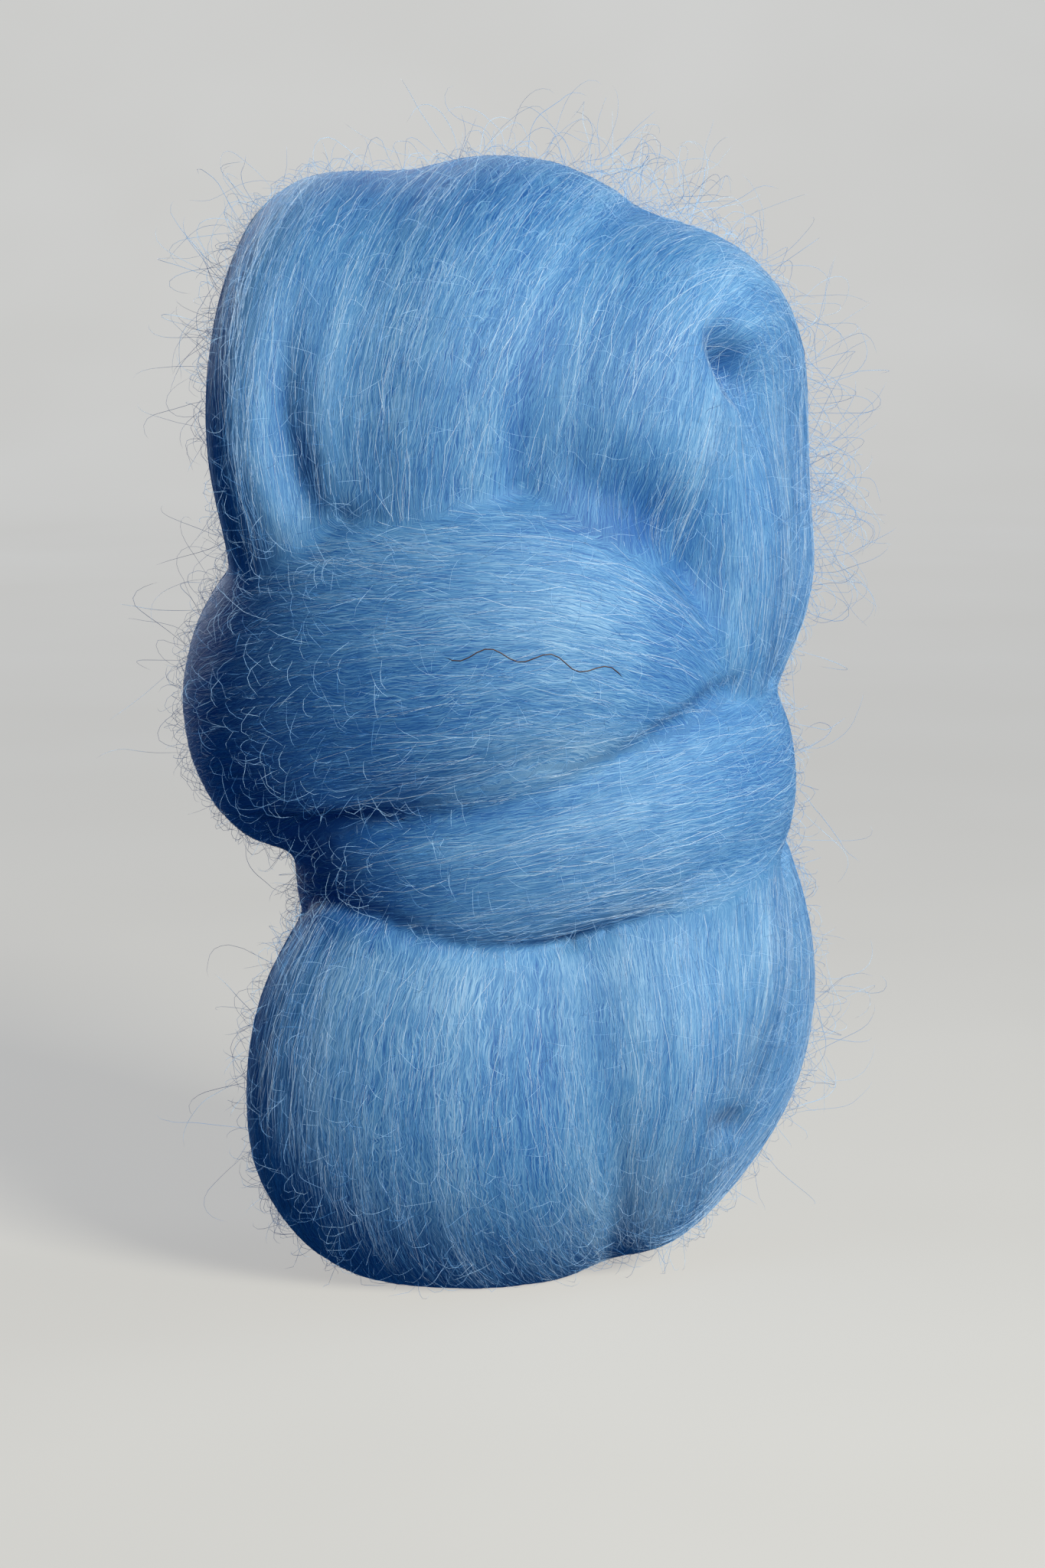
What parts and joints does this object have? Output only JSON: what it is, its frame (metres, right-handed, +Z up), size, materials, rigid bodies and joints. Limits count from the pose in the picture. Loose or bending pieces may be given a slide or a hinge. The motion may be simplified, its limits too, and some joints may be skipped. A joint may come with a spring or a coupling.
{
  "type": "wool roving hank",
  "caption": "Hank of combed, dyed wool top, folded back and forth into upright loops and wrapped round its own waist, standing on its lower folds.",
  "frame": {"origin": "on the floor, under the middle of the hank's box", "axes": "+X to the right of the front view, +Y away from the viewer, +Z up along the hank's folds"},
  "size_m": [0.0717, 0.0633, 0.1251],
  "materials": {
    "dyed_wool": "soft combed wool fibre, mid blue, matt with a light sheen along the fibres"
  },
  "bodies": {
    "root": {"roving_hank": "dyed_wool"}
  },
  "joints": []
}
